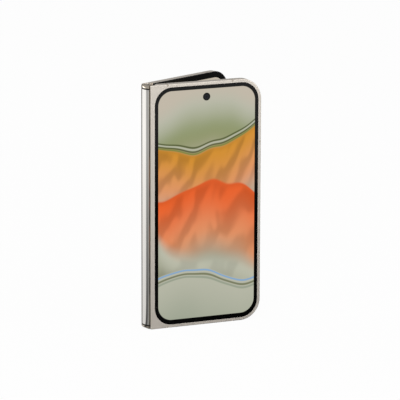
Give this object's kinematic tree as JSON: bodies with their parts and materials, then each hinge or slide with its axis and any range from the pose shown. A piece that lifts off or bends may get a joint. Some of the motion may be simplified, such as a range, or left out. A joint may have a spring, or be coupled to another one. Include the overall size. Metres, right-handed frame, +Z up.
{
  "type": "foldable smartphone",
  "caption": "Book-style folding phone standing part open, with a glass cover screen, a polished geared spine and a folding inner screen.",
  "frame": {"origin": "middle of the bounding box at the standing edges", "axes": "+Z up along the spine, -Y out of the cover glass, +X from the spine to the front half's free edge"},
  "size_m": [0.0774, 0.0407, 0.1552],
  "materials": {
    "frame_metal": "satin, pale champagne",
    "glass": "polished, dark border",
    "screen": "lit picture",
    "lens_black": "black",
    "black_plastic": "matt",
    "board": "lacquered",
    "battery": "foil",
    "plated_steel": "brushed",
    "seal_rubber": "soft",
    "band_plastic": "satin",
    "inner_screen": "glossy folding screen",
    "dark_steel": "blackened",
    "spine_metal": "polished",
    "cap_metal": "satin",
    "brass_gear": "machined",
    "back_finish": "matt, opaque",
    "lens_glass": "polished",
    "flash_plastic": "clear",
    "copper": "enamelled wire"
  },
  "bodies": {
    "spine": {"spine_cover": "spine_metal", "spine_cap_top": "cap_metal", "spine_cap_bottom": "cap_metal", "spine_seals": "seal_rubber", "hinge_brackets": "dark_steel", "fold_screen": "inner_screen"},
    "front_half": {"front_frame": "frame_metal", "cover_glass": "glass", "cover_screen": "screen", "cover_camera": "lens_black", "earpiece": "black_plastic", "front_board": "board", "front_battery": "battery", "card_socket": "plated_steel", "front_antenna_bands": "band_plastic", "front_magnets": "plated_steel", "front_inner_screen": "inner_screen", "front_bezel": "black_plastic", "front_swing_arms": "plated_steel", "front_arm_screws": "dark_steel"},
    "card_tray": {"card_tray": "frame_metal", "card_tray_seal": "seal_rubber"},
    "front_plate": {"front_support_plate": "plated_steel"},
    "pinion_1": {"pinion_1": "brass_gear"},
    "pinion_2": {"pinion_2": "brass_gear"},
    "pinion_3": {"pinion_3": "brass_gear"},
    "pinion_4": {"pinion_4": "brass_gear"},
    "power_button": {"power_button": "cap_metal"},
    "volume_rocker": {"volume_rocker": "cap_metal"},
    "rear_plate": {"rear_support_plate": "plated_steel"},
    "rear_half": {"rear_frame": "frame_metal", "back_glass": "back_finish", "camera_island": "cap_metal", "camera_rings": "cap_metal", "camera_windows": "lens_glass", "camera_modules": "lens_black", "flash_window": "flash_plastic", "main_board": "board", "board_shield": "plated_steel", "rear_battery": "battery", "charging_coil": "copper", "usb_socket": "plated_steel", "speaker": "black_plastic", "vibration_motor": "plated_steel", "rear_antenna_bands": "band_plastic", "rear_magnets": "plated_steel", "rear_inner_screen": "inner_screen", "inner_camera": "lens_black", "rear_bezel": "black_plastic", "rear_swing_arms": "plated_steel", "rear_arm_screws": "dark_steel", "power_switch": "plated_steel", "volume_switches": "plated_steel"}
  },
  "joints": [
    {"name": "front_fold", "type": "hinge", "parent": "spine", "child": "front_half", "pos_m": [-0.03511, -0.01643, 0.0776], "axis": [0, 0, -1], "range_deg": [-12.3, 77.7], "deforming": ["fold_screen"]},
    {"name": "rear_fold", "type": "hinge", "parent": "spine", "child": "rear_half", "pos_m": [-0.03565, -0.01394, 0.0776], "axis": [0, 0, 1], "range_deg": [-12.3, 77.7]},
    {"name": "front_plate_tilt", "type": "hinge", "parent": "front_half", "child": "front_plate", "pos_m": [-0.03068, -0.01631, 0.0776], "axis": [0, 0, -1], "range_deg": [-2.2, 13.82]},
    {"name": "rear_plate_tilt", "type": "hinge", "parent": "rear_half", "child": "rear_plate", "pos_m": [-0.03158, -0.01221, 0.0776], "axis": [0, 0, 1], "range_deg": [-2.2, 13.82]},
    {"name": "pinion_1_spin", "type": "hinge", "parent": "spine", "child": "pinion_1", "pos_m": [-0.03698, -0.01676, 0.0776], "axis": [0, 0, 1], "range_deg": [-46.23, 291.48]},
    {"name": "pinion_2_spin", "type": "hinge", "parent": "spine", "child": "pinion_2", "pos_m": [-0.03715, -0.01598, 0.0776], "axis": [0, 0, 1], "range_deg": [-291.48, 46.23]},
    {"name": "pinion_3_spin", "type": "hinge", "parent": "spine", "child": "pinion_3", "pos_m": [-0.03732, -0.0152, 0.0776], "axis": [0, 0, 1], "range_deg": [-46.23, 291.48]},
    {"name": "pinion_4_spin", "type": "hinge", "parent": "spine", "child": "pinion_4", "pos_m": [-0.03749, -0.01442, 0.0776], "axis": [0, 0, 1], "range_deg": [-291.48, 46.23]},
    {"name": "card_tray_slide", "type": "slide", "parent": "front_half", "child": "card_tray", "axis": [0, 0, -1], "range_m": [0, 0.022]},
    {"name": "power_press", "type": "slide", "parent": "rear_half", "child": "power_button", "axis": [-0.9092, -0.4163, 0], "range_m": [0, 0.0002], "stiffness_N_per_m": 6000},
    {"name": "volume_rock", "type": "hinge", "parent": "rear_half", "child": "volume_rocker", "pos_m": [0.02997, 0.01767, 0.11], "axis": [-0.4163, 0.9092, 0], "range_deg": [-1.04, 1.04], "stiffness_Nm_per_rad": 0.5}
  ],
  "couplings": [
    {"joint": "rear_fold", "follows": "front_fold", "ratio": 1},
    {"joint": "front_plate_tilt", "follows": "front_fold", "ratio": 0.17778},
    {"joint": "rear_plate_tilt", "follows": "front_fold", "ratio": 0.17778},
    {"joint": "pinion_1_spin", "follows": "front_fold", "ratio": 3.75},
    {"joint": "pinion_2_spin", "follows": "front_fold", "ratio": -3.75},
    {"joint": "pinion_3_spin", "follows": "front_fold", "ratio": 3.75},
    {"joint": "pinion_4_spin", "follows": "front_fold", "ratio": -3.75}
  ]
}
